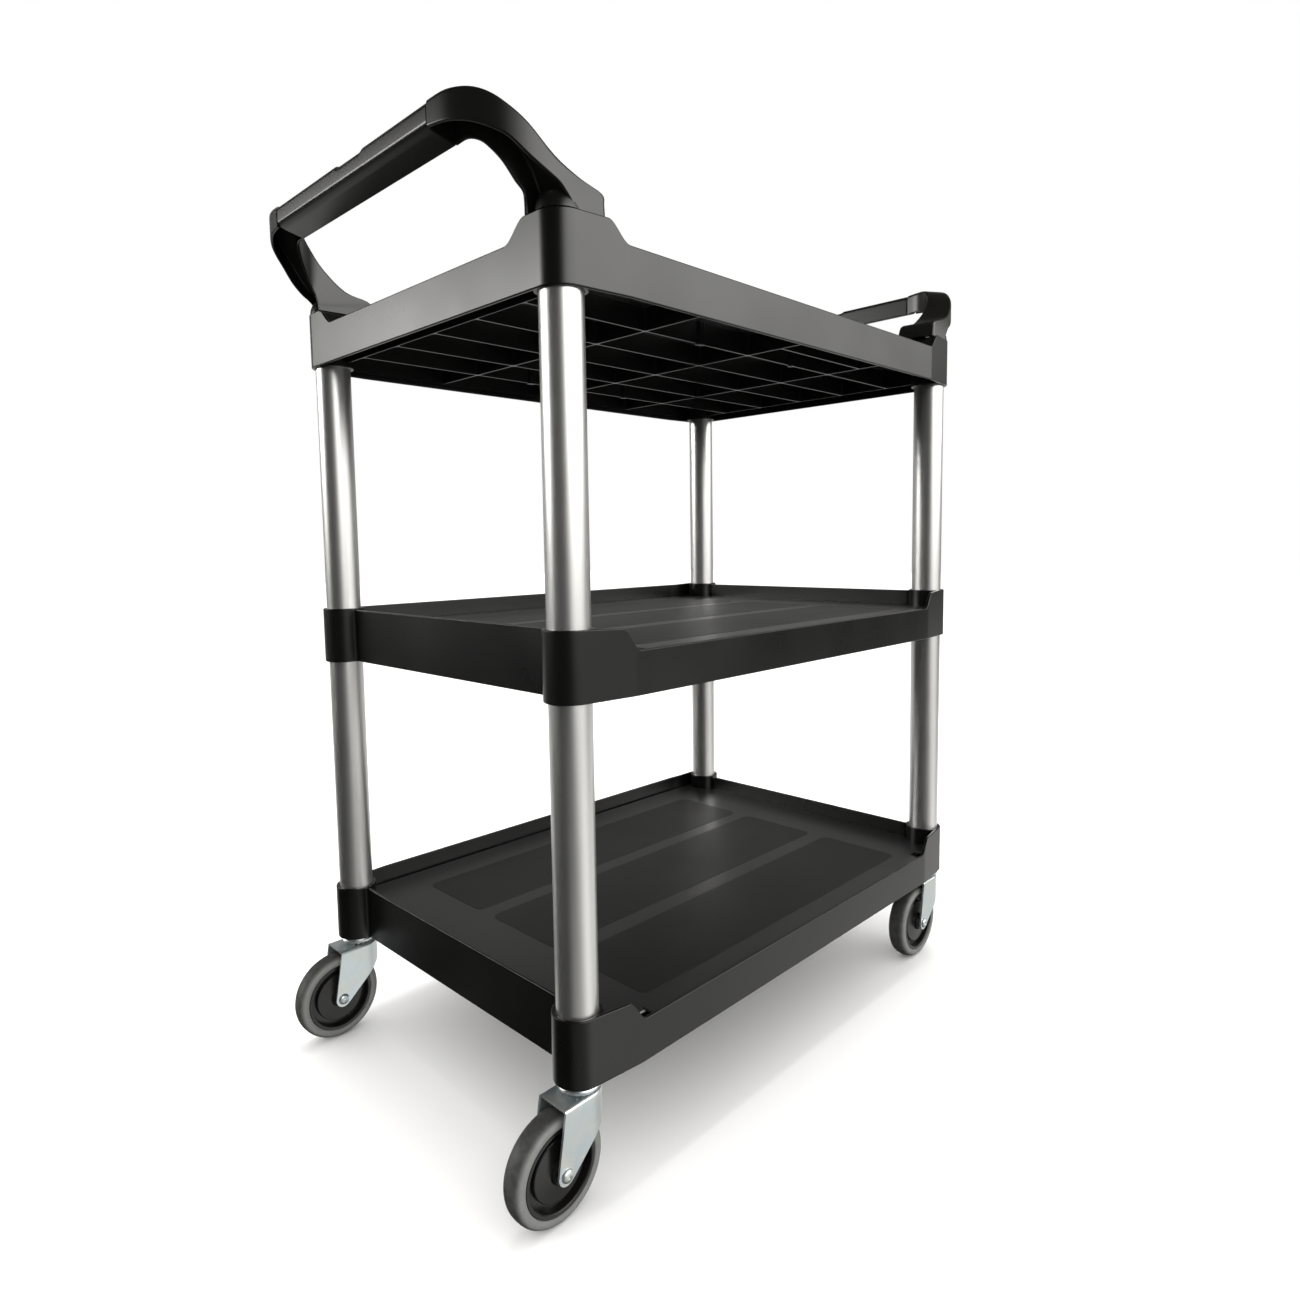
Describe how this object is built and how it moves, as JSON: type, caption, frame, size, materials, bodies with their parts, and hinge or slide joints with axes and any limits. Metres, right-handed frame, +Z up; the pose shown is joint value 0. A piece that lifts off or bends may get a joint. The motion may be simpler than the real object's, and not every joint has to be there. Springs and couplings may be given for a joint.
{
  "type": "rolling utility cart",
  "caption": "Rolling service cart with open tray shelves on round uprights, a push handle at each end and swivel casters.",
  "frame": {"origin": "on the floor, under the centre of the cart's overall box", "axes": "+X along the length towards the right-hand handle, +Y across the width away from the low tray side, +Z up"},
  "size_m": [0.9014, 0.51, 1.027],
  "materials": {
    "black_plastic": "moulded structural-foam plastic, semi-gloss with faint flow marks",
    "grip_plastic": "moulded plastic, satin",
    "aluminium": "satin anodised tube",
    "zinc_steel": "bright zinc-plated pressed steel",
    "hub_plastic": "moulded plastic",
    "grey_rubber": "non-marking grey rubber, satin"
  },
  "bodies": {
    "root": {"top_shelf": "black_plastic", "middle_shelf": "black_plastic", "bottom_shelf": "black_plastic", "front_left_lower_upright": "aluminium", "front_left_upper_upright": "aluminium", "front_right_lower_upright": "aluminium", "front_right_upper_upright": "aluminium", "rear_left_lower_upright": "aluminium", "rear_left_upper_upright": "aluminium", "rear_right_lower_upright": "aluminium", "rear_right_upper_upright": "aluminium", "front_left_handle_arm": "grip_plastic", "front_left_handle_screw_outer": "zinc_steel", "front_left_handle_screw_inner": "zinc_steel", "front_right_handle_arm": "grip_plastic", "front_right_handle_screw_outer": "zinc_steel", "front_right_handle_screw_inner": "zinc_steel", "rear_left_handle_arm": "grip_plastic", "rear_left_handle_screw_outer": "zinc_steel", "rear_left_handle_screw_inner": "zinc_steel", "rear_right_handle_arm": "grip_plastic", "rear_right_handle_screw_outer": "zinc_steel", "rear_right_handle_screw_inner": "zinc_steel", "left_handle_grip": "grip_plastic", "right_handle_grip": "grip_plastic", "front_left_caster_stem": "zinc_steel", "front_right_caster_stem": "zinc_steel", "rear_left_caster_stem": "zinc_steel", "rear_right_caster_stem": "zinc_steel"},
    "front_left_caster": {"front_left_caster_fork": "zinc_steel", "front_left_swivel_balls": "zinc_steel", "front_left_axle_bolt": "zinc_steel", "front_left_axle_nut": "zinc_steel", "front_left_axle_sleeve": "zinc_steel"},
    "front_left_wheel": {"front_left_wheel_hub": "hub_plastic", "front_left_wheel_tread": "grey_rubber"},
    "front_right_caster": {"front_right_caster_fork": "zinc_steel", "front_right_swivel_balls": "zinc_steel", "front_right_axle_bolt": "zinc_steel", "front_right_axle_nut": "zinc_steel", "front_right_axle_sleeve": "zinc_steel"},
    "front_right_wheel": {"front_right_wheel_hub": "hub_plastic", "front_right_wheel_tread": "grey_rubber"},
    "rear_left_caster": {"rear_left_caster_fork": "zinc_steel", "rear_left_swivel_balls": "zinc_steel", "rear_left_axle_bolt": "zinc_steel", "rear_left_axle_nut": "zinc_steel", "rear_left_axle_sleeve": "zinc_steel"},
    "rear_left_wheel": {"rear_left_wheel_hub": "hub_plastic", "rear_left_wheel_tread": "grey_rubber"},
    "rear_right_caster": {"rear_right_caster_fork": "zinc_steel", "rear_right_swivel_balls": "zinc_steel", "rear_right_axle_bolt": "zinc_steel", "rear_right_axle_nut": "zinc_steel", "rear_right_axle_sleeve": "zinc_steel"},
    "rear_right_wheel": {"rear_right_wheel_hub": "hub_plastic", "rear_right_wheel_tread": "grey_rubber"}
  },
  "joints": [
    {"name": "front_left_swivel", "type": "hinge", "parent": "root", "child": "front_left_caster", "pos_m": [-0.3594, -0.2235, 0.1187], "axis": [0, 0, 1], "continuous": true},
    {"name": "front_left_wheel_spin", "type": "hinge", "parent": "front_left_caster", "child": "front_left_wheel", "pos_m": [-0.3934, -0.2235, 0.054], "axis": [0, 1, 0], "continuous": true},
    {"name": "front_right_swivel", "type": "hinge", "parent": "root", "child": "front_right_caster", "pos_m": [0.3594, -0.2235, 0.1187], "axis": [0, 0, 1], "continuous": true},
    {"name": "front_right_wheel_spin", "type": "hinge", "parent": "front_right_caster", "child": "front_right_wheel", "pos_m": [0.3254, -0.2235, 0.054], "axis": [0, 1, 0], "continuous": true},
    {"name": "rear_left_swivel", "type": "hinge", "parent": "root", "child": "rear_left_caster", "pos_m": [-0.3594, 0.2235, 0.1187], "axis": [0, 0, 1], "continuous": true},
    {"name": "rear_left_wheel_spin", "type": "hinge", "parent": "rear_left_caster", "child": "rear_left_wheel", "pos_m": [-0.3934, 0.2235, 0.054], "axis": [0, 1, 0], "continuous": true},
    {"name": "rear_right_swivel", "type": "hinge", "parent": "root", "child": "rear_right_caster", "pos_m": [0.3594, 0.2235, 0.1187], "axis": [0, 0, 1], "continuous": true},
    {"name": "rear_right_wheel_spin", "type": "hinge", "parent": "rear_right_caster", "child": "rear_right_wheel", "pos_m": [0.3254, 0.2235, 0.054], "axis": [0, 1, 0], "continuous": true}
  ]
}
